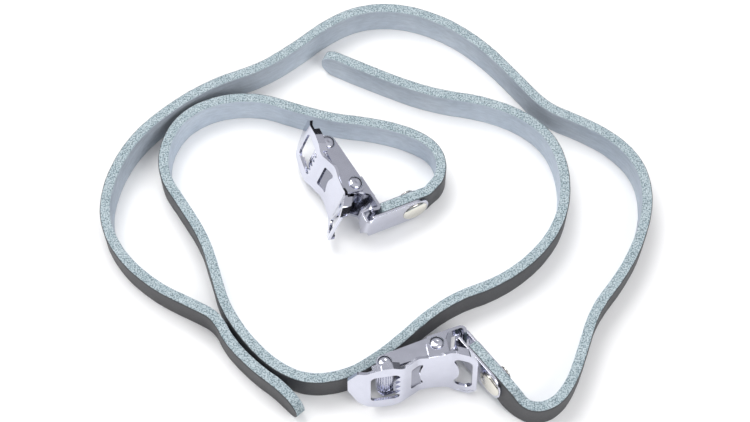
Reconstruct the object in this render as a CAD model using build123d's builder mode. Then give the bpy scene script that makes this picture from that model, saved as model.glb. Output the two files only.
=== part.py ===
from build123d import *
import math
import os

# A pair of leather toe-clip straps with stamped quick-release buckles. Each strap stands on its cut edge.
# World frame: +X right, +Y away from the open side of the layout, +Z up, millimetres.

# ---------------------------------------------------------------- driving dimensions
STRAP_WIDTH = 10.0
STRAP_THICK = 3.0
TIP_ROUND = 4.4
STRAP_GAP = 0.35  # side clearance of the strap in the buckle
SHEET = 0.8  # stamped steel of lever, clasp and washer
ARM_SHEET = 0.9  # stamped steel of the frame
LINK_X = 14.8  # roller axis from the pivot axis, along the lever
LINK_Y = 3.2  # roller axis from the pivot axis, towards the lever face
ARM_END = 2.3  # half width of a frame arm at the roller
ARM_HEEL = 2.5  # half width of a frame arm at the pivot
ROLLER_DIA = 5.0
ROLLER_LENGTH = 9.8
FLUTES = 20
FLUTE_DEPTH = 0.45
PIN_DIA = 2.0
RUN_CLEARANCE = 0.05
HEAD_DIA = 4.0
HEAD_HEIGHT = 0.7
LEVER_FRONT = 4.6  # lever face from the pivot axis
BULGE_RISE = 2.9  # how far the lever stands out over the roller
LOOP_RISE = 3.4  # how far the finger loop is bent outwards
PAD_HALF = 6.9
WAIST_HALF = 7.3
LOOP_HALF = 8.6
EAR_HALF = 2.8
LEVER_TIP = 25.2
LEVER_END = 10.0
WINDOW_LENGTH = 8.1
TOOTH_DEPTH = 1.2
TEETH = 4
BAR_X = 8.6  # clasp bar from the pivot axis
BAR_Y = 3.6
BAR_HALF = 0.85  # half length of the bar, measured along the hook leg
CLASP_LENGTH = 17.9
FAR_LEG = 17.2
FAR_BROAD = 3.0  # the far leg is full width this far from the bar, then a tongue
FAR_HALF = 3.4
NECK_HALF = 3.0
WINDOW_FROM = 4.9  # where the neck's window starts in the frame, from the pivot axis
NECK_GAP = 0.35  # side clearance of the clasp neck in the frame window
END_SPACE = 1.4  # from the bar's axis to the clasp's end wall
CUT_END = 3.1  # from the bar's axis to the leather's cut end
HOOK_DEPTH = 2.0  # from the bar's axis to the outer face of the frame's tail
RIVET_FROM_BAR = 13.7
RIVET_HEAD = 7.6
RIVET_SHANK = 3.0
RIVET_DOME = 0.85
WIRE = 0.7
COILS = 6

# ---------------------------------------------------------------- values worked out from them
ARM_IN = STRAP_WIDTH / 2 + STRAP_GAP
ARM_OUT = ARM_IN + ARM_SHEET
SPACE = STRAP_THICK / 2  # the clasp's legs lie on the leather
ROLLER_AT = (-LINK_X, -LINK_Y)
LINK_LENGTH = math.hypot(LINK_X, LINK_Y)
LINK_ANGLE = math.degrees(math.atan2(LINK_Y, LINK_X))
WINDOW_BACK = -LINK_X + ROLLER_DIA / 2 + TOOTH_DEPTH - 0.1
WINDOW_FRONT = WINDOW_BACK - WINDOW_LENGTH
WINDOW_HALF = ARM_IN - 0.05
BULGE_Y = -LEVER_FRONT - BULGE_RISE
EAR_IN = ARM_OUT + 0.1
EAR_OUT = EAR_IN + SHEET
TAIL_Y = BAR_Y + HOOK_DEPTH
BULGE_HALF = ARM_OUT + HEAD_HEIGHT + 0.8 + SHEET
RIM_LOW = LOOP_HALF - SHEET - 0.9
ROLLER_RIM_LOW = ARM_OUT + 0.15
WEB_START = (-2.2, 2.6)

# Each buckle: its pivot's place, the way its pins point and its lever's heading in plan.
# Each clasp: the way its width points and the heading of its legs in plan.
BUCKLES = {
    "a": dict(at=(16.6, -46.2, 8.2), up=(0.0, 0.25, 0.968), lever=10.0, clasp_up=(0.03, 0.10, 0.995), clasp=-52.5),
    "b": dict(at=(-7.6, 2.65, 9.2), up=(0.31, 0.12, 0.95), lever=-71.8, clasp_up=(0.155, 0.06, 0.986), clasp=27.0),
}

# Each strap's centre line in plan, from the clasp to the rounded tip, as the corners of a route.
ROUTES = {
    "a": [(38.4, -58.6), (43.0, -61.3), (48.8, -59.5), (53.3, -53.5), (56.9, -43.6), (60.5, -32.5), (69.0, -21.5),
          (74.5, -11.0), (77.8, 1.0), (76.3, 12.5), (69.5, 21.0), (60.0, 26.8), (49.5, 31.5), (41.5, 41.5),
          (32.5, 52.0), (21.5, 60.5), (8.0, 65.5), (-4.5, 65.0), (-14.5, 59.8), (-24.0, 51.5), (-34.0, 44.5),
          (-46.5, 40.0), (-59.0, 31.8), (-69.5, 21.5), (-75.5, 9.0), (-77.0, -4.0), (-71.5, -16.0), (-61.0, -25.5),
          (-49.5, -31.2), (-43.5, -34.5), (-39.8, -42.0), (-32.0, -50.0), (-25.2, -54.8), (-20.2, -60.6)],
    "b": [(15.4, 5.1), (18.6, 8.4), (19.2, 14.0), (16.4, 19.6), (9.0, 23.7), (-1.0, 26.4), (-12.0, 27.7),
          (-23.0, 31.0), (-34.0, 34.8), (-46.0, 34.0), (-56.0, 28.5), (-60.8, 19.0), (-60.5, 9.0), (-54.5, 0.0),
          (-48.0, -10.5), (-44.6, -21.0), (-41.5, -31.5), (-34.8, -41.5), (-26.8, -49.3), (-18.0, -53.2),
          (-7.5, -51.6), (0.4, -46.8), (7.2, -41.1), (14.0, -34.5), (23.0, -28.3), (34.0, -24.3), (43.5, -17.5),
          (50.5, -9.0), (54.0, 0.5), (54.3, 11.0), (51.0, 21.5), (43.0, 29.0), (31.0, 33.8), (18.0, 35.8),
          (4.0, 41.0), (-15.2, 50.2)],
}
LAYOUT_SHIFT = (-0.4, -2.2)  # puts the origin under the middle of the whole layout


def frame_at(origin, up, heading):
    """Plane whose z is the given up direction and whose x is the plan heading laid square to it."""
    z = Vector(*up).normalized()
    flat = Vector(math.cos(math.radians(heading)), math.sin(math.radians(heading)), 0)
    x = (flat - z * flat.dot(z)).normalized()
    return Plane(origin=origin, x_dir=(x.X, x.Y, x.Z), z_dir=(z.X, z.Y, z.Z))


# ---------------------------------------------------------------- lever plate
SHEET_LINE = [
    (-LEVER_TIP, BULGE_Y + 2.9),
    (WINDOW_FRONT - 1.0, BULGE_Y + SHEET / 2),
    (WINDOW_BACK + 0.5, BULGE_Y + SHEET / 2),
    (-5.6, -LEVER_FRONT + SHEET / 2),
    (3.0, -LEVER_FRONT + SHEET / 2),
    (LEVER_END, -LEVER_FRONT - LOOP_RISE + SHEET / 2),
]
OUTLINE = [
    (-LEVER_TIP, 2.2),
    (-LEVER_TIP + 2.6, WAIST_HALF - 0.8),
    (WINDOW_FRONT, WAIST_HALF + 0.4),
    (-LINK_X - 1.5, BULGE_HALF),
    (-LINK_X + 1.6, BULGE_HALF),
    (WINDOW_BACK + 1.4, WAIST_HALF),
    (-6.4, WAIST_HALF + 0.2),
    (-3.0, PAD_HALF),
    (1.4, WAIST_HALF),
    (4.6, LOOP_HALF),
    (LEVER_END - 2.2, LOOP_HALF),
    (LEVER_END, LOOP_HALF - 2.4),
]
with BuildPart() as lever_sheet:
    with BuildSketch(Plane.XY.offset(-BULGE_HALF)):
        with BuildLine():
            FilletPolyline(*SHEET_LINE, radius=3.0)
        trace(line_width=SHEET)
    extrude(amount=2 * BULGE_HALF)
with BuildPart() as lever_rim_space:
    with BuildSketch(Plane.XY.offset(-BULGE_HALF)):
        with BuildLine():
            FilletPolyline(*[(x, y + 0.75) for x, y in SHEET_LINE], radius=3.0)
        trace(line_width=SHEET + 1.5)
    extrude(amount=2 * BULGE_HALF)
with BuildPart() as lever_outline:
    with BuildSketch(Plane.XZ.offset(-4)) as outline_sketch:
        with BuildLine():
            Polyline(*OUTLINE, *[(x, -z) for x, z in reversed(OUTLINE)], close=True)
        make_face()
        fillet(outline_sketch.vertices(), radius=1.0)
    extrude(amount=20)
with BuildPart() as lever_inner:
    with BuildSketch(Plane.XZ.offset(-4)) as inner_sketch:
        add(outline_sketch.sketch)
        offset(amount=-SHEET, mode=Mode.REPLACE)
    extrude(amount=20)
with BuildPart() as lever_windows:
    with BuildSketch(Plane.XZ.offset(-4)) as window_sketch:
        with Locations(((WINDOW_FRONT + WINDOW_BACK) / 2, 0)):
            RectangleRounded(WINDOW_LENGTH, 2 * WINDOW_HALF, 1.6)
        with Locations((-6.2, 0)):
            RectangleRounded(3.4, 8.6, 0.5)
        with Locations((6.3, 0)):
            RectangleRounded(4.6, 2 * (LOOP_HALF - 2.9), 1.6)
        for tooth in range(TEETH):
            z = (tooth - (TEETH - 1) / 2) * 2.1
            with BuildLine():
                Polyline((WINDOW_BACK + 0.2, z - 1.0), (WINDOW_BACK - TOOTH_DEPTH, z), (WINDOW_BACK + 0.2, z + 1.0),
                         close=True)
            make_face(mode=Mode.SUBTRACT)
        with Locations((0, 0)):
            Ellipse(5.3, 6.2, mode=Mode.SUBTRACT)
    extrude(amount=20)
with BuildPart() as lever_rim:
    add(lever_outline.part)
    add(lever_inner.part, mode=Mode.SUBTRACT)
    add(lever_rim_space.part, mode=Mode.INTERSECT)
    with BuildSketch(Plane.XY.offset(-2 * BULGE_HALF)):
        with Locations((-LINK_X - 0.1, 0)):
            Rectangle(7.6, 40)
        with Locations((LEVER_END, 0)):
            Rectangle(10.0, 40)
    extrude(amount=4 * BULGE_HALF, mode=Mode.INTERSECT)
    for middle, low in ((-LINK_X, ROLLER_RIM_LOW), (LEVER_END, RIM_LOW)):
        with BuildSketch(Plane.XY.offset(-low)):
            with Locations((middle, 0)):
                Rectangle(14, 40)
        extrude(amount=2 * low, mode=Mode.SUBTRACT)
with BuildPart() as lever:
    add(lever_sheet.part)
    add(lever_outline.part, mode=Mode.INTERSECT)
    add(lever_rim.part)
    add(lever_windows.part, mode=Mode.SUBTRACT)
    for side in (-1, 1):
        low = EAR_IN if side > 0 else -EAR_OUT
        with BuildSketch(Plane.XY.offset(low)):
            Circle(EAR_HALF)
            with Locations((0, -(LEVER_FRONT - SHEET / 2) / 2)):
                Rectangle(2 * EAR_HALF, LEVER_FRONT - SHEET / 2)
            Circle(PIN_DIA / 2 + RUN_CLEARANCE, mode=Mode.SUBTRACT)
        extrude(amount=SHEET)

# ---------------------------------------------------------------- fluted roller
with BuildPart() as roller:
    with BuildSketch(Plane.XY.offset(-ROLLER_LENGTH / 2)):
        with Locations(ROLLER_AT):
            Circle(ROLLER_DIA / 2)
            with PolarLocations(ROLLER_DIA / 2 + 0.12, FLUTES):
                Circle(FLUTE_DEPTH, mode=Mode.SUBTRACT)
            Circle(PIN_DIA / 2 + RUN_CLEARANCE, mode=Mode.SUBTRACT)
    extrude(amount=ROLLER_LENGTH)


def riveted_pin(centre, reach):
    """A plain shank out to reach on both sides with a domed head formed on each end."""
    with BuildPart() as pin:
        with BuildSketch(Plane.XY.offset(-reach)):
            with Locations(centre):
                Circle(PIN_DIA / 2)
        extrude(amount=2 * reach)
        for side in (-1, 1):
            with BuildSketch(Plane.XY.offset(side * reach)):
                with Locations(centre):
                    Circle(HEAD_DIA / 2)
            extrude(amount=side * HEAD_HEIGHT)
        ends = pin.edges().filter_by(GeomType.CIRCLE).group_by(Axis.Z)
        fillet([ends[0][0], ends[-1][0]], radius=HEAD_HEIGHT * 0.8)
    return pin.part


roller_pin = riveted_pin(ROLLER_AT, ARM_OUT)
pivot_pin = riveted_pin((0, 0), EAR_OUT + 0.05)

# ---------------------------------------------------------------- buckle frame
WEB_LINE = [WEB_START, (BAR_X, TAIL_Y - ARM_SHEET / 2), (BAR_X, BAR_Y - BAR_HALF)]
with BuildPart() as yoke:
    for side in (-1, 1):
        low = ARM_IN if side > 0 else -ARM_OUT
        with BuildSketch(Plane.XY.offset(low)):
            with Locations(ROLLER_AT):
                Circle(ARM_END)
            Circle(ARM_HEEL)
            with BuildLine():
                Polyline((-LINK_X + 0.5, -LINK_Y - ARM_END + 0.05), (0.5, -ARM_HEEL + 0.05), (2.4, 0.6), (4.4, 4.75),
                         WEB_START, (-LINK_X - 0.5, -LINK_Y + ARM_END - 0.05), close=True)
            make_face()
            for centre in (ROLLER_AT, (0, 0)):
                with Locations(centre):
                    Circle(PIN_DIA / 2, mode=Mode.SUBTRACT)
        extrude(amount=ARM_SHEET)
    with BuildSketch(Plane.XY.offset(-ARM_OUT)):
        with BuildLine():
            FilletPolyline(*WEB_LINE, radius=1.1)
        trace(line_width=ARM_SHEET)
    extrude(amount=2 * ARM_OUT)
    with BuildSketch(Plane.XY.offset(-NECK_HALF - NECK_GAP)):
        with Locations((BAR_X, BAR_Y + BAR_HALF + 5)):
            Rectangle(2 * (BAR_X - WINDOW_FROM), 10)
        with Locations(((WINDOW_FROM + BAR_X - ARM_SHEET / 2) / 2, BAR_Y + 4)):
            Rectangle(BAR_X - ARM_SHEET / 2 - WINDOW_FROM, 10)
    extrude(amount=2 * (NECK_HALF + NECK_GAP), mode=Mode.SUBTRACT)

# ---------------------------------------------------------------- torsion spring
COIL_RADIUS = PIN_DIA / 2 + WIRE / 2 + 0.25
LEG_ANGLE = math.degrees(math.atan2(WEB_LINE[1][1] - WEB_START[1], WEB_LINE[1][0] - WEB_START[0]))
with BuildPart() as spring:
    with BuildSketch(Plane.XZ):
        for turn in range(COILS):
            with Locations((COIL_RADIUS, (turn - (COILS - 1) / 2) * WIRE * 0.94)):
                Circle(WIRE / 2)
    revolve(axis=Axis.Z)
    for side, length, angle in ((1, 6.2, LEG_ANGLE), (-1, 5.0, LEG_ANGLE - 14)):
        height = side * (COILS - 1) / 2 * WIRE * 0.94
        with BuildSketch(Plane(origin=(0, 0, height), x_dir=(0, 0, 1),
                               z_dir=(math.cos(math.radians(angle)), math.sin(math.radians(angle)), 0))):
            with Locations((0, COIL_RADIUS)):
                Circle(WIRE / 2)
        extrude(amount=length)

# ---------------------------------------------------------------- clasp, rivet and washer, in the clasp's own frame
LEG_Y = SPACE + SHEET / 2
with BuildPart() as clasp:
    with BuildSketch(Plane.XY.offset(-STRAP_WIDTH / 2 - 0.15)):
        with BuildLine():
            FilletPolyline((CLASP_LENGTH, -LEG_Y), (-END_SPACE - SHEET / 2, -LEG_Y), (-END_SPACE - SHEET / 2, LEG_Y),
                           (FAR_LEG, LEG_Y), radius=0.7)
        trace(line_width=SHEET)
    extrude(amount=STRAP_WIDTH + 0.3)
    with BuildSketch(Plane.XZ.offset(-10)):
        with Locations((CLASP_LENGTH / 2 - 0.3, 0)):
            Rectangle(CLASP_LENGTH + 0.6, STRAP_WIDTH + 0.3)
        with Locations((0, 0)):
            Rectangle(12, 2 * NECK_HALF)
    extrude(amount=20, mode=Mode.INTERSECT)
    with BuildSketch(Plane.XZ.offset(-10)):
        for side in (-1, 1):
            with Locations((0.6, side * (NECK_HALF + 2))):
                Rectangle(4.8, 4)
            with Locations((FAR_BROAD + 10, side * (FAR_HALF + 2))):
                Rectangle(20, 4)
    extrude(amount=10, mode=Mode.SUBTRACT)
    corners = clasp.edges().filter_by(Axis.Y)
    fillet(corners.filter_by_position(Axis.X, CLASP_LENGTH - 0.1, CLASP_LENGTH + 0.1), radius=STRAP_WIDTH / 2 - 0.3)
    fillet(corners.filter_by_position(Axis.X, FAR_LEG - 0.1, FAR_LEG + 0.1), radius=FAR_HALF - 0.6)
    with BuildSketch(Plane.XZ.offset(-10)):
        with Locations((RIVET_FROM_BAR, 0)):
            Circle(RIVET_SHANK / 2)
    extrude(amount=20, mode=Mode.SUBTRACT)

with BuildPart() as rivet:
    with BuildSketch(Plane.XZ.offset(SPACE + SHEET)):
        Circle(RIVET_SHANK / 2)
    extrude(amount=-2 * SPACE - 3 * SHEET)
    with BuildSketch(Plane.XZ.offset(SPACE + SHEET)):
        Circle(RIVET_HEAD / 2)
    extrude(amount=RIVET_DOME)
    fillet(rivet.edges().filter_by(GeomType.CIRCLE).sort_by(Axis.Y)[0], radius=RIVET_DOME * 0.75)
    with BuildSketch(Plane.XZ.offset(-SPACE - 2 * SHEET)):
        Circle(RIVET_SHANK / 2 + 0.7)
    extrude(amount=-0.4)
with BuildPart() as washer:
    with BuildSketch(Plane.XZ.offset(-SPACE - SHEET)):
        Circle(RIVET_HEAD / 2 - 0.4)
        Circle(RIVET_SHANK / 2, mode=Mode.SUBTRACT)
    extrude(amount=-SHEET)


def corner_radii(points):
    """Arc at each corner: 0.45 of the shorter run over the tangent of half the turn."""
    radii = []
    for before, here, after in zip(points, points[1:], points[2:]):
        first = Vector(here[0] - before[0], here[1] - before[1])
        second = Vector(after[0] - here[0], after[1] - here[1])
        turn = math.radians(first.get_angle(second))
        radii.append(0.45 * min(first.length, second.length) / math.tan(turn / 2))
    return radii


def leather(clasp_plane, points):
    """Strap of one thickness: a straight end in the clasp, a short twist, then the route standing on edge."""
    start = Vector(points[1][0] - points[0][0], points[1][1] - points[0][1], 0).normalized()
    along = clasp_plane.x_dir
    across = clasp_plane.y_dir
    grip = CLASP_LENGTH + 0.3 - CUT_END
    here = clasp_plane.origin + along * CUT_END
    there = here + along * grip
    radii = corner_radii(points)
    print("tightest bend of the strap", round(min(radii), 1))
    with BuildPart() as strap:
        with BuildSketch(Plane(origin=here, x_dir=across, z_dir=along)):
            Rectangle(STRAP_THICK, STRAP_WIDTH)
        extrude(amount=grip)
        with BuildSketch(Plane(origin=there, x_dir=across, z_dir=along)):
            Rectangle(STRAP_THICK, STRAP_WIDTH)
        with BuildSketch(Plane(origin=(*points[0], STRAP_WIDTH / 2), x_dir=(-start.Y, start.X, 0), z_dir=start)):
            Rectangle(STRAP_THICK, STRAP_WIDTH)
        loft()
        with BuildSketch(Plane.XY):
            with BuildLine():
                FilletPolyline(*points, radius=radii)
            trace(line_width=STRAP_THICK)
        extrude(amount=STRAP_WIDTH)
        with BuildSketch(Plane(origin=clasp_plane.origin + along * RIVET_FROM_BAR, x_dir=along, z_dir=across)):
            Circle(RIVET_SHANK / 2)
        extrude(amount=STRAP_THICK, both=True, mode=Mode.SUBTRACT)
        end = Vector(points[-1][0], points[-1][1], STRAP_WIDTH / 2)
        tip = strap.faces().filter_by(GeomType.PLANE).sort_by_distance(end)[0]
        fillet(tip.edges().filter_by(Plane.XY).sort_by(SortBy.LENGTH)[:2], radius=TIP_ROUND)
    return strap.part


# ---------------------------------------------------------------- the two straps, placed and written
os.makedirs("parts", exist_ok=True)
for key, place in BUCKLES.items():
    shift = Pos(LAYOUT_SHIFT[0], LAYOUT_SHIFT[1], 0)
    buckle = frame_at(place["at"], place["up"], place["lever"])
    bar = buckle.from_local_coords(Vector(BAR_X, BAR_Y, 0))
    hold = frame_at((bar.X, bar.Y, bar.Z), place["clasp_up"], place["clasp"])
    pieces = {
        "buckle_lever": buckle.location * lever.part,
        "buckle_frame": buckle.location * yoke.part,
        "fluted_roller": buckle.location * roller.part,
        "roller_pin": buckle.location * roller_pin,
        "pivot_pin": buckle.location * pivot_pin,
        "lever_spring": buckle.location * spring.part,
        "strap_clasp": hold.location * clasp.part,
        "strap_rivet": hold.location * Pos(RIVET_FROM_BAR, 0, 0) * rivet.part,
        "rivet_washer": hold.location * Pos(RIVET_FROM_BAR, 0, 0) * washer.part,
        "leather_strap": leather(hold, ROUTES[key]),
    }
    roller_axis = buckle.from_local_coords(Vector(*ROLLER_AT, 0))
    print(key, "pins", buckle.z_dir, "pivot", buckle.origin, "roller", roller_axis, "bar", bar)
    for name, solid in pieces.items():
        placed = shift * solid
        placed.label = name + "_" + key
        export_step(placed, "parts/" + name + "_" + key + ".step")
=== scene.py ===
import math

import bmesh
import bpy
import numpy as np
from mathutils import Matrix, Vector


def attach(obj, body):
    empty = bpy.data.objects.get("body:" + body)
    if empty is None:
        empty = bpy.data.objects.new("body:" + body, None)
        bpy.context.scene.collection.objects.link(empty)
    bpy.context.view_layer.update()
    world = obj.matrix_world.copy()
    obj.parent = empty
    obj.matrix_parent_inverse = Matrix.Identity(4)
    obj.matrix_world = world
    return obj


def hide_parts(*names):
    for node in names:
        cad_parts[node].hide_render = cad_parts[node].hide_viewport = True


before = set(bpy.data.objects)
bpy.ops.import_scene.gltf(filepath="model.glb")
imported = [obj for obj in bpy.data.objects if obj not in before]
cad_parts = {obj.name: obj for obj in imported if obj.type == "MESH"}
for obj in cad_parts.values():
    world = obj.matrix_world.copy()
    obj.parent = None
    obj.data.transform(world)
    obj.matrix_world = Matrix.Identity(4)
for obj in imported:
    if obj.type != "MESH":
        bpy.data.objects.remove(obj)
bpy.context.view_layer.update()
MM = 0.001

# ---------------------------------------------------------------- camera
# The camera stands over the front of the layout and looks down on it at 64 degrees.
looks_at = Vector((-0.4, -2.2, 5.0)) * MM
stands_off = 511 * MM
looks_down = math.radians(64.0)
camera = bpy.data.objects.new("camera", bpy.data.cameras.new("camera"))
camera.data.sensor_width = 36.0
camera.data.lens = 85.92
camera.data.clip_start = 0.01
camera.location = looks_at + stands_off * Vector((0, -math.cos(looks_down), math.sin(looks_down)))
camera.rotation_euler = (math.pi / 2 - looks_down, 0, 0)
bpy.context.collection.objects.link(camera)
bpy.context.scene.camera = camera
bpy.context.scene.view_settings.view_transform = "Standard"

# ---------------------------------------------------------------- leather straps
# Each strap is one length of black cowhide, 10 mm wide and 3 mm thick. Its grain side is dyed and pressed,
# its flesh side and its cut edges show the pale blue-grey core. It stands on one cut edge.
STRAP_WIDTH = 10.0
STRAP_THICK = 3.0
TIP_ROUND = 4.4
GRAIN_CORNER = 0.55
FLESH_CORNER = 0.3
CUT_END = 3.1
CLASP_LENGTH = 17.9
shift = np.array([-0.4, -2.2, 0.0])
clasp_place = {
    "a": dict(at=(24.0715, -43.5628, 6.95071), up=(0.03, 0.10, 0.995), heading=-52.5),
    "b": dict(at=(-2.03987, -6.64199, 8.15094), up=(0.155, 0.06, 0.986), heading=27.0),
}
routes = {
    "a": [(38.4, -58.6), (43.0, -61.3), (48.8, -59.5), (53.3, -53.5), (56.9, -43.6), (60.5, -32.5), (69.0, -21.5),
          (74.5, -11.0), (77.8, 1.0), (76.3, 12.5), (69.5, 21.0), (60.0, 26.8), (49.5, 31.5), (41.5, 41.5),
          (32.5, 52.0), (21.5, 60.5), (8.0, 65.5), (-4.5, 65.0), (-14.5, 59.8), (-24.0, 51.5), (-34.0, 44.5),
          (-46.5, 40.0), (-59.0, 31.8), (-69.5, 21.5), (-75.5, 9.0), (-77.0, -4.0), (-71.5, -16.0), (-61.0, -25.5),
          (-49.5, -31.2), (-43.5, -34.5), (-39.8, -42.0), (-32.0, -50.0), (-25.2, -54.8), (-20.2, -60.6)],
    "b": [(15.4, 5.1), (18.6, 8.4), (19.2, 14.0), (16.4, 19.6), (9.0, 23.7), (-1.0, 26.4), (-12.0, 27.7),
          (-23.0, 31.0), (-34.0, 34.8), (-46.0, 34.0), (-56.0, 28.5), (-60.8, 19.0), (-60.5, 9.0), (-54.5, 0.0),
          (-48.0, -10.5), (-44.6, -21.0), (-41.5, -31.5), (-34.8, -41.5), (-26.8, -49.3), (-18.0, -53.2),
          (-7.5, -51.6), (0.4, -46.8), (7.2, -41.1), (14.0, -34.5), (23.0, -28.3), (34.0, -24.3), (43.5, -17.5),
          (50.5, -9.0), (54.0, 0.5), (54.3, 11.0), (51.0, 21.5), (43.0, 29.0), (31.0, 33.8), (18.0, 35.8),
          (4.0, 41.0), (-15.2, 50.2)],
}


def axes_at(up, heading):
    """Rows x, y, z of a right-handed frame: z is up, x is the plan heading laid square to it."""
    z = np.array(up, float) / np.linalg.norm(up)
    flat = np.array([math.cos(math.radians(heading)), math.sin(math.radians(heading)), 0.0])
    x = flat - z * flat.dot(z)
    x /= np.linalg.norm(x)
    return np.array([x, np.cross(z, x), z])


def centre_line(corners, spacing):
    """Evenly spaced points on the quadratic spline with these control points, by length along it."""
    curve = bpy.data.curves.new("route", "CURVE")
    curve.dimensions = "3D"
    spline = curve.splines.new("NURBS")
    spline.points.add(len(corners) - 1)
    spline.points.foreach_set("co", np.c_[corners, np.ones(len(corners))].ravel())
    spline.order_u = 3
    spline.use_endpoint_u = True
    spline.resolution_u = 24
    holder = bpy.data.objects.new("route", curve)
    bpy.context.collection.objects.link(holder)
    bpy.context.view_layer.update()
    drawn = bpy.data.meshes.new_from_object(holder)
    points = np.array([v.co for v in drawn.vertices])
    bpy.data.objects.remove(holder)
    bpy.data.curves.remove(curve)
    bpy.data.meshes.remove(drawn)
    run = np.r_[0, np.cumsum(np.linalg.norm(np.diff(points, axis=0), axis=1))]
    even = np.linspace(0, run[-1], int(round(run[-1] / spacing)) + 1)
    return np.stack([np.interp(even, run, points[:, k]) for k in range(3)], axis=1), even


def grid_mesh(name, points, caps=True):
    """Mesh of a grid of points (rings x around): quads between neighbours, the rings joined round, ends closed."""
    rings, around = points.shape[:2]
    index = np.arange(rings * around).reshape(rings, around)
    following = np.roll(index, -1, axis=1)
    quads = np.stack([index[:-1], following[:-1], following[1:], index[1:]], axis=-1).reshape(-1, 4)
    faces = quads.tolist()
    if caps:
        faces += [index[0, ::-1].tolist(), index[-1].tolist()]
    mesh = bpy.data.meshes.new(name)
    mesh.from_pydata(points.reshape(-1, 3).tolist(), [], faces)
    mesh.update()
    piece = bpy.data.objects.new(name, mesh)
    bpy.context.collection.objects.link(piece)
    return piece


def wave(run, seed, lengths, size):
    """Sum of sines of these wavelengths with seeded phases, at most about size high."""
    random = np.random.default_rng(seed)
    phase = random.uniform(0, 2 * math.pi, len(lengths))
    return size * sum(np.sin(2 * math.pi * run / l + p) for l, p in zip(lengths, phase)) / len(lengths)


def strap_section():
    """Strap section as (depth, height), each -1 to 1: flesh side at depth -1, grain side at 1, corners rounded."""
    half_t, half_w = STRAP_THICK / 2, STRAP_WIDTH / 2
    out = []
    for side_t, side_w, radius, turn in ((1, -1, GRAIN_CORNER, -90), (1, 1, GRAIN_CORNER, 0),
                                         (-1, 1, FLESH_CORNER, 90), (-1, -1, FLESH_CORNER, 180)):
        angle = np.radians(turn + np.linspace(0, 90, 6))
        out.append(np.c_[side_t * (half_t - radius) + radius * np.cos(angle),
                         side_w * (half_w - radius) + radius * np.sin(angle)])
    corners = []
    for here, there, steps in zip(out, out[1:] + out[:1], (12, 7, 12, 7)):
        part = np.linspace(0, 1, steps + 2)[1:-1, None]
        corners += [here, here[-1] * (1 - part) + there[0] * part]
    return np.concatenate(corners)


def strap_mesh(key):
    """The section carried along the route: centre + depth across the strap + height along its width.

    Width runs out as a circle at the tip. The way up turns from the clasp's to upright over the first bend.
    """
    place = clasp_place[key]
    x, y, z = axes_at(place["up"], place["heading"])
    bar = np.array(place["at"])
    gripped = [bar + x * s for s in (CUT_END, CLASP_LENGTH - 3.0, CLASP_LENGTH + 0.3)]
    route = [np.array([px, py, STRAP_WIDTH / 2]) + shift for px, py in routes[key]]
    line, run = centre_line(np.array(gripped + route), 0.5)
    length = run[-1]
    # rings close up towards the rounded tip
    extra = length - TIP_ROUND * (1 - np.sin(np.linspace(0, math.pi / 2, 14)))
    rings = np.r_[run[run < length - TIP_ROUND - 0.2], extra]
    line = np.stack([np.interp(rings, run, line[:, k]) for k in range(3)], axis=1)
    run = rings
    tangent = np.gradient(line, run, axis=0)
    tangent /= np.linalg.norm(tangent, axis=1)[:, None]
    turned_up = np.clip((run - (CLASP_LENGTH - CUT_END)) / 9.0, 0, 1)
    turned_up = (turned_up * turned_up * (3 - 2 * turned_up))[:, None]
    up = z * (1 - turned_up) + np.array([0, 0, 1.0]) * turned_up
    up -= tangent * (up * tangent).sum(1)[:, None]
    up /= np.linalg.norm(up, axis=1)[:, None]
    left = np.cross(up, tangent)
    section = strap_section()
    depth, height = section[:, 0], section[:, 1]
    tip = np.clip(run - (length - TIP_ROUND), 0, TIP_ROUND)
    half = (STRAP_WIDTH / 2 - TIP_ROUND) + np.sqrt(TIP_ROUND ** 2 - tip ** 2)
    narrow = np.minimum(half / (STRAP_WIDTH / 2), 1)
    seed = ord(key)
    thick = 1 + wave(run, seed, (31, 17, 9.3, 4.1), 0.035)
    top = wave(run, seed + 7, (23, 11, 5.7, 2.3), 0.09) * np.clip(run / 25 - 1, 0, 1)
    rise = np.where(height > 3, 1, 0) * (height - 3) / 2
    points = (line[:, None, :]
              - left[:, None, :] * (depth[None, :] * thick[:, None])[..., None]
              + up[:, None, :] * (height[None, :] * narrow[:, None] + rise[None, :] * top[:, None])[..., None])
    piece = grid_mesh("strap_leather_" + key, points * MM)
    values = np.broadcast_to(depth / (STRAP_THICK / 2), points.shape[:2])
    layer = piece.data.attributes.new("layer", "FLOAT", "POINT")
    layer.data.foreach_set("value", values.astype(np.float32).ravel())
    around = np.r_[0, np.cumsum(np.linalg.norm(np.diff(section, axis=0), axis=1))]
    uv = np.stack(np.broadcast_arrays(run[:, None], around[None, :]), axis=-1).reshape(-1, 2) * MM
    loops = np.zeros(len(piece.data.loops), np.int32)
    piece.data.loops.foreach_get("vertex_index", loops)
    piece.data.uv_layers.new(name="strap").data.foreach_set("uv", uv[loops].astype(np.float32).ravel())
    piece.data.shade_smooth()
    return piece, line * MM, length * MM


def new_material(name):
    """An empty node material and a maker of its nodes."""
    material = bpy.data.materials.new(name)
    material.use_nodes = True
    tree = material.node_tree
    tree.nodes.clear()
    out = tree.nodes.new("ShaderNodeOutputMaterial")
    shader = tree.nodes.new("ShaderNodeBsdfPrincipled")
    tree.links.new(shader.outputs[0], out.inputs[0])
    return material, tree, shader


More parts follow.
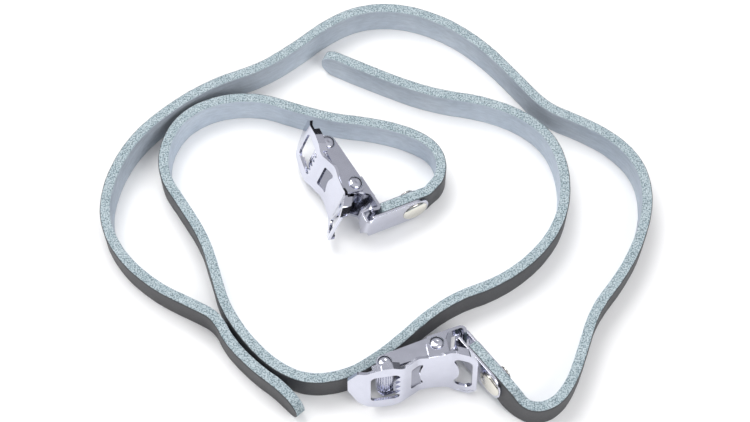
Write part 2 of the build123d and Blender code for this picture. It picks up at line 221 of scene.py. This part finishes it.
def noise(tree, where, scale, detail=4.0, rough=0.6, stretch=None):
    """Noise texture on a coordinate output, with the coordinate stretched along an axis if asked."""
    if stretch is not None:
        mapping = tree.nodes.new("ShaderNodeMapping")
        mapping.inputs["Scale"].default_value = stretch
        tree.links.new(where, mapping.inputs["Vector"])
        where = mapping.outputs[0]
    node = tree.nodes.new("ShaderNodeTexNoise")
    node.inputs["Scale"].default_value = scale
    node.inputs["Detail"].default_value = detail
    node.inputs["Roughness"].default_value = rough
    tree.links.new(where, node.inputs["Vector"])
    return node.outputs["Fac"]


def ramp(tree, value, stops):
    """Colour ramp of (position, colour) stops on a value."""
    node = tree.nodes.new("ShaderNodeValToRGB")
    while len(node.color_ramp.elements) < len(stops):
        node.color_ramp.elements.new(0.5)
    for element, (position, colour) in zip(node.color_ramp.elements, stops):
        element.position = position
        element.color = (*colour, 1.0) if len(colour) == 3 else colour
    tree.links.new(value, node.inputs["Fac"])
    return node.outputs["Color"]


def mix(tree, factor, first, second, kind="RGBA", blend="MIX"):
    """Mix of two colours or values by a factor."""
    node = tree.nodes.new("ShaderNodeMix")
    node.data_type = kind
    if kind == "RGBA":
        node.blend_type = blend
    sockets = [s for s in node.inputs if s.enabled]
    for socket, value in zip(sockets, (factor, first, second)):
        if hasattr(value, "is_linked"):
            tree.links.new(value, socket)
        else:
            socket.default_value = value
    return [s for s in node.outputs if s.enabled][0]


def math_node(tree, operation, first, second):
    """One math operation on two values."""
    node = tree.nodes.new("ShaderNodeMath")
    node.operation = operation
    for socket, value in zip(node.inputs, (first, second)):
        if hasattr(value, "is_linked"):
            tree.links.new(value, socket)
        else:
            socket.default_value = value
    return node.outputs[0]


def smooth_step(tree, value, low, high):
    """0 below low, 1 above high, smooth between."""
    node = tree.nodes.new("ShaderNodeMapRange")
    node.interpolation_type = "SMOOTHSTEP"
    node.inputs["From Min"].default_value = low
    node.inputs["From Max"].default_value = high
    tree.links.new(value, node.inputs["Value"])
    return node.outputs["Result"]


def leather_material():
    """Dyed grain, fuzzy flesh and speckled cut edge, chosen by the layer attribute: 1 is grain, -1 is flesh."""
    material, tree, shader = new_material("strap_leather")
    layer = tree.nodes.new("ShaderNodeAttribute")
    layer.attribute_name = "layer"
    layer = layer.outputs["Fac"]
    place = tree.nodes.new("ShaderNodeTexCoord").outputs["Object"]
    uv = tree.nodes.new("ShaderNodeUVMap")
    uv.uv_map = "strap"
    uv = uv.outputs[0]
    grain_dots = noise(tree, place, 1900, 3, 0.55)
    grain_clouds = noise(tree, place, 120, 3, 0.6)
    grain = ramp(tree, grain_dots, [(0.3, (0.030, 0.031, 0.035)), (0.7, (0.052, 0.053, 0.058))])
    worn = ramp(tree, grain_clouds, [(0.35, (0.034, 0.035, 0.038)), (0.65, (0.070, 0.070, 0.073))])
    grain = mix(tree, 0.35, grain, worn)
    fibres = noise(tree, uv, 260, 6, 0.7, stretch=(1.0, 3.0, 1.0))
    flesh_clouds = noise(tree, place, 70, 4, 0.6)
    flesh = ramp(tree, fibres, [(0.28, (0.35, 0.41, 0.48)), (0.72, (0.57, 0.65, 0.75))])
    flesh = mix(tree, 0.35, flesh, ramp(tree, flesh_clouds, [(0.35, (0.42, 0.47, 0.53)), (0.65, (0.62, 0.66, 0.70))]))
    specks = noise(tree, place, 2300, 2, 0.6)
    patches = noise(tree, place, 420, 2, 0.5)
    edge = ramp(tree, specks, [(0.40, (0.06, 0.085, 0.10)), (0.48, (0.24, 0.31, 0.34)), (0.60, (0.48, 0.55, 0.58))])
    edge = mix(tree, 0.30, edge, ramp(tree, patches, [(0.35, (0.24, 0.31, 0.34)), (0.65, (0.47, 0.54, 0.57))]))
    wobble = math_node(tree, "MULTIPLY", math_node(tree, "SUBTRACT", patches, 0.5), 0.12)
    shifted = math_node(tree, "ADD", layer, wobble)
    to_flesh = smooth_step(tree, math_node(tree, "MULTIPLY", layer, -1.0), 0.90, 0.995)
    to_grain = smooth_step(tree, shifted, 0.80, 0.90)
    colour = mix(tree, to_flesh, edge, flesh)
    colour = mix(tree, to_grain, colour, grain)
    tree.links.new(colour, shader.inputs["Base Color"])
    grain_rough = ramp(tree, grain_clouds, [(0.3, (0.50,) * 3), (0.7, (0.62,) * 3)])
    rough = mix(tree, to_grain, 0.95, grain_rough, kind="FLOAT")
    tree.links.new(rough, shader.inputs["Roughness"])
    bump = tree.nodes.new("ShaderNodeBump")
    bump.inputs["Strength"].default_value = 0.6
    bump.inputs["Distance"].default_value = 0.0002
    fuzz = mix(tree, 0.5, specks, fibres, kind="FLOAT")
    tall = mix(tree, to_grain, fuzz, math_node(tree, "MULTIPLY", grain_dots, 0.25), kind="FLOAT")
    tree.links.new(tall, bump.inputs["Height"])
    tree.links.new(bump.outputs[0], shader.inputs["Normal"])
    return material


leather = leather_material()
strap_piece = {}
for key in ("a", "b"):
    piece, line, length = strap_mesh(key)
    print("strap", key, "length", round(length, 4))
    piece.data.materials.append(leather)
    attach(piece, "strap_" + key)
    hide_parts("leather_strap_" + key)
    strap_piece[key] = piece


# ---------------------------------------------------------------- plated pieces
# Stamped sheet steel, tumbled until its edges are soft, then bright plated.
def plate_material(name, colour, rough, streak):
    """Bright plate: a mirror whose colour and roughness wander a little, with fine tumbling marks."""
    material, tree, shader = new_material(name)
    place = tree.nodes.new("ShaderNodeTexCoord").outputs["Object"]
    clouds = noise(tree, place, 260, 3, 0.5)
    marks = noise(tree, place, 1400, 3, 0.5)
    darker = tuple(c * 0.95 for c in colour)
    tree.links.new(ramp(tree, clouds, [(0.35, darker), (0.65, colour)]), shader.inputs["Base Color"])
    shader.inputs["Metallic"].default_value = 1.0
    low, high = rough * 0.8, rough * 1.3
    tree.links.new(ramp(tree, clouds, [(0.3, (low,) * 3), (0.7, (high,) * 3)]), shader.inputs["Roughness"])
    bump = tree.nodes.new("ShaderNodeBump")
    bump.inputs["Strength"].default_value = streak
    bump.inputs["Distance"].default_value = 0.00002
    tree.links.new(marks, bump.inputs["Height"])
    tree.links.new(bump.outputs[0], shader.inputs["Normal"])
    return material


plate = plate_material("bright_plate", (0.60, 0.61, 0.69), 0.12, 0.2)
warm_plate = plate_material("nickel_plate", (0.72, 0.70, 0.63), 0.20, 0.35)
wire_plate = plate_material("drawn_wire", (0.55, 0.55, 0.58), 0.25, 0.3)


def eased_copy(name, node, edge):
    """The solid's own shape with its sharp edges eased round by edge, in metres."""
    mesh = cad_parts[node].data.copy()
    mesh.materials.clear()
    piece = bpy.data.objects.new(name, mesh)
    bpy.context.collection.objects.link(piece)
    work = bmesh.new()
    work.from_mesh(mesh)
    bmesh.ops.remove_doubles(work, verts=work.verts, dist=0.002 * MM)
    bmesh.ops.dissolve_limit(work, angle_limit=math.radians(0.6), verts=work.verts, edges=work.edges)
    work.to_mesh(mesh)
    work.free()
    mesh.shade_smooth()
    if edge:
        bevel = piece.modifiers.new("eased", "BEVEL")
        bevel.width = edge
        bevel.segments = 3
        bevel.limit_method = "ANGLE"
        bevel.angle_limit = math.radians(35)
        bevel.harden_normals = False
    soft = piece.modifiers.new("normals", "WEIGHTED_NORMAL")
    soft.keep_sharp = False
    return piece


# The lever, the frame's yoke and the clasp are folded from 0.8 and 0.9 mm sheet; the frame's tail hooks through
# the clasp's end loop. Their shapes are the solids' own, with the sheared edges eased as tumbling leaves them.
SHEET_EDGE = 0.13 * MM
for key in ("a", "b"):
    for name, node, body in (("lever_plate_", "buckle_lever_", "lever_"), ("frame_plate_", "buckle_frame_", "frame_"),
                             ("clasp_plate_", "strap_clasp_", "strap_")):
        piece = eased_copy(name + key, node + key, SHEET_EDGE)
        piece.data.materials.append(plate)
        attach(piece, body + key)
        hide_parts(node + key)

# ---------------------------------------------------------------- turned and formed pieces of the buckles
# Each buckle is laid out in its own frame: x along the lever, z along the pins, the origin at the pivot.
buckle_place = {
    "a": dict(at=(16.2, -48.4, 8.2), up=(0.0, 0.25, 0.968), heading=10.0),
    "b": dict(at=(-8.0, 0.45, 9.2), up=(0.31, 0.12, 0.95), heading=-71.8),
}
ROLLER_AT = np.array([-14.8, -3.2, 0.0])
ARM_OUT = 6.25
EAR_OUT = 7.15


def in_world(points, place):
    """Points of a piece's own frame, in millimetres, as points of the layout in metres."""
    return (np.array(place["at"]) + points @ axes_at(place["up"], place["heading"])) * MM


def turned(name, profile, centre, place, around=48, flutes=None):
    """Revolve: each (radius, z) of the profile goes round the z axis through centre.

    With flutes (count, depth), radius loses depth * ((1 + cos(count * angle)) / 2) ** 1.5, scaled by the profile's
    third column.
    """
    angle = np.linspace(0, 2 * math.pi, around, endpoint=False)
    radius = np.repeat(profile[:, :1], around, axis=1)
    if flutes:
        count, depth = flutes
        radius = radius - profile[:, 2:3] * depth * (0.5 + 0.5 * np.cos(count * angle))[None, :] ** 1.5
    height = np.repeat(profile[:, 1:2], around, axis=1)
    points = np.stack([radius * np.cos(angle), radius * np.sin(angle), height], axis=-1)
    piece = grid_mesh(name, in_world(points + centre, place))
    piece.data.shade_smooth()
    return piece


def finish_piece(piece, material, body, slot, *nodes):
    """Material, body and the solids that the piece stands for; points outwards everywhere. The slot argument is not
    used.
    """
    piece.data.materials.append(material)
    work = bmesh.new()
    work.from_mesh(piece.data)
    bmesh.ops.recalc_face_normals(work, faces=work.faces)
    work.to_mesh(piece.data)
    work.free()
    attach(piece, body)
    if nodes:
        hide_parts(*nodes)


def pin_profile(reach):
    """Half section of a pin with a formed head each end: a low dome of radius 2.0 with a shallow flat on top."""
    head = np.array([(2.0, 0.0), (2.05, 0.12), (2.0, 0.28), (1.8, 0.46), (1.45, 0.60), (1.0, 0.69), (0.6, 0.70),
                     (0.3, 0.66), (0.02, 0.64)])
    up = np.c_[head[:, 0], reach + head[:, 1]]
    down = np.c_[head[::-1, 0], -reach - head[::-1, 1]]
    shank = np.array([(1.0, -reach), (1.0, reach)])
    return np.concatenate([down, shank, up])


# Roller pin and pivot pin: 2 mm steel rod, riveted over at both ends. The roller pin is fast in the frame's arms.
# The pivot pin goes through the arms and through the lever's ears outside them.
for key in ("a", "b"):
    piece = turned("roller_pin_plated_" + key, pin_profile(ARM_OUT), ROLLER_AT, buckle_place[key])
    finish_piece(piece, plate, "frame_" + key, "plated_pin", "roller_pin_" + key)
    piece = turned("pivot_pin_plated_" + key, pin_profile(EAR_OUT + 0.05), np.zeros(3), buckle_place[key])
    finish_piece(piece, plate, "frame_" + key, "plated_pin", "pivot_pin_" + key)

# Roller: a 5 mm steel sleeve with 20 flutes that grip the strap, free on its pin.
roller_half = 4.9
sleeve = np.array([(1.08, -roller_half, 0), (2.15, -roller_half, 0), (2.4, -roller_half + 0.25, 0.6),
                   (2.5, -roller_half + 0.5, 1), (2.5, roller_half - 0.5, 1), (2.4, roller_half - 0.25, 0.6),
                   (2.15, roller_half, 0), (1.08, roller_half, 0)])
for key in ("a", "b"):
    piece = turned("roller_fluted_" + key, sleeve, ROLLER_AT, buckle_place[key], around=240, flutes=(20, 0.45))
    finish_piece(piece, plate, "roller_" + key, "plated_roller", "fluted_roller_" + key)

# Spring: 0.7 mm wire wound six turns round the pivot pin, one leg on the frame's web and one behind the lever.
WIRE = 0.7
COILS = 6
COIL_RADIUS = 1.6
LEG_ANGLE = math.atan2(5.6 - 0.45 - 2.6, 8.6 + 2.2)


def spring_path():
    """Helix of six turns, height even with the angle, its two ends running off along their tangents."""
    turn = np.linspace(0, 1, COILS * 28)
    start, end = LEG_ANGLE - math.pi / 2, LEG_ANGLE - math.pi / 2 + 2 * math.pi * (COILS - 1) - math.radians(14)
    angle = end + (start - end) * turn
    height = (turn - 0.5) * (COILS - 1) * WIRE * 0.94
    coil = np.stack([COIL_RADIUS * np.cos(angle), COIL_RADIUS * np.sin(angle), height], axis=1)
    first, last = coil[0] - coil[1], coil[-1] - coil[-2]
    out = np.linspace(0.3, 1, 6)[::-1, None] * 4.2
    back = np.linspace(0.3, 1, 6)[:, None] * 5.0
    lift = np.array([1.0, 1.0, 0.0])
    return np.concatenate([coil[0] + out * lift * first / np.linalg.norm(first), coil,
                           coil[-1] + back * lift * last / np.linalg.norm(last)])


def wire_tube(name, path, radius, place, around=10):
    """Circle carried along a path, on axes square to it that start from the z axis."""
    run = np.r_[0, np.cumsum(np.linalg.norm(np.diff(path, axis=0), axis=1))]
    tangent = np.gradient(path, run, axis=0)
    tangent /= np.linalg.norm(tangent, axis=1)[:, None]
    side = np.cross(tangent, [0, 0, 1.0])
    side /= np.linalg.norm(side, axis=1)[:, None]
    up = np.cross(side, tangent)
    angle = np.linspace(0, 2 * math.pi, around, endpoint=False)
    ring = np.cos(angle)[None, :, None] * side[:, None] + np.sin(angle)[None, :, None] * up[:, None]
    points = path[:, None] + radius * ring
    piece = grid_mesh(name, in_world(points, place))
    piece.data.shade_smooth()
    return piece


for key in ("a", "b"):
    piece = wire_tube("spring_wire_" + key, spring_path(), WIRE / 2, buckle_place[key])
    finish_piece(piece, wire_plate, "frame_" + key, "spring_wire", "lever_spring_" + key)

# Rivet: turned, with a wide, low nickel head on the grain side, clenched over a stamped washer on the flesh side.
RIVET_FROM_BAR = 13.7
CLASP_SHEET = 0.8
rivet_profile = np.array([(0.02, 0.84), (1.2, 0.83), (2.2, 0.77), (2.9, 0.66), (3.35, 0.50), (3.65, 0.30),
                          (3.8, 0.12), (3.8, 0.0), (1.5, -0.02), (1.5, -3.0), (1.5, -5.4), (2.2, -5.4),
                          (2.1, -5.7), (1.2, -5.8), (0.02, -5.8)])
washer_profile = np.array([(1.52, -3.9), (3.3, -3.9), (3.4, -4.1), (3.4, -4.5), (3.3, -4.66), (1.52, -4.66)])
for key in ("a", "b"):
    place = clasp_place[key]
    x, y, z = axes_at(place["up"], place["heading"])
    head = dict(place, at=tuple(np.array(place["at"]) + x * RIVET_FROM_BAR - y * (STRAP_THICK / 2 + CLASP_SHEET)))
    for name, profile, material, slot, node in (
            ("rivet_nickel_", rivet_profile, warm_plate, "rivet_metal", "strap_rivet_"),
            ("washer_plated_", washer_profile, plate, "plated_sheet", "rivet_washer_")):
        angle = np.linspace(0, 2 * math.pi, 64, endpoint=False)
        radius = profile[:, :1]
        points = np.stack([radius * np.cos(angle), -profile[:, 1:2] * np.ones(64), radius * np.sin(angle)], axis=-1)
        closed = np.concatenate([points, points[:1]]) if name.startswith("washer") else points
        piece = grid_mesh(name + key, in_world(closed, head), caps=not name.startswith("washer"))
        piece.data.shade_smooth()
        finish_piece(piece, material, "strap_" + key, slot, node + key)

# ---------------------------------------------------------------- floor and lights
# White paper under three soft boxes. The sky is white overhead and dark near the horizon, which the plate mirrors.
floor_mesh = bpy.data.meshes.new("floor")
floor_mesh.from_pydata([(-2, -2, 0), (2, -2, 0), (2, 2, 0), (-2, 2, 0)], [], [(0, 1, 2, 3)])
floor = bpy.data.objects.new("floor", floor_mesh)
floor.location.z = -0.00005
bpy.context.collection.objects.link(floor)
paper, tree, shader = new_material("paper")
shader.inputs["Base Color"].default_value = (0.92, 0.92, 0.92, 1)
shader.inputs["Roughness"].default_value = 0.9
shader.inputs["Specular IOR Level"].default_value = 0.1
floor_mesh.materials.append(paper)

world = bpy.data.worlds.new("studio")
bpy.context.scene.world = world
world.use_nodes = True
tree = world.node_tree
direction = tree.nodes.new("ShaderNodeSeparateXYZ")
tree.links.new(tree.nodes.new("ShaderNodeTexCoord").outputs["Generated"], direction.inputs[0])
sky = ramp(tree, direction.outputs["Z"], [(0.05, (0.01, 0.01, 0.012)), (0.30, (0.04, 0.04, 0.045)),
                                          (0.48, (0.55, 0.56, 0.60)), (0.80, (0.95, 0.95, 0.97))])
tree.links.new(sky, tree.nodes["Background"].inputs["Color"])
tree.nodes["Background"].inputs["Strength"].default_value = 0.85


def soft_box(name, at, size, power):
    """Square lamp at a place, facing the layout."""
    lamp = bpy.data.lights.new(name, "AREA")
    lamp.shape = "RECTANGLE"
    lamp.size, lamp.size_y = size
    lamp.energy = power
    holder = bpy.data.objects.new(name, lamp)
    holder.location = at
    holder.rotation_euler = (Vector((0, 0, 0)) - Vector(at)).to_track_quat("-Z", "Y").to_euler()
    bpy.context.collection.objects.link(holder)
    return holder


soft_box("key", (-0.25, 0.35, 0.75), (0.6, 0.5), 5.0)
soft_box("fill", (0.45, -0.45, 0.6), (0.5, 0.5), 3.0)
soft_box("side", (-0.7, -0.1, 0.35), (0.15, 0.6), 1.2)
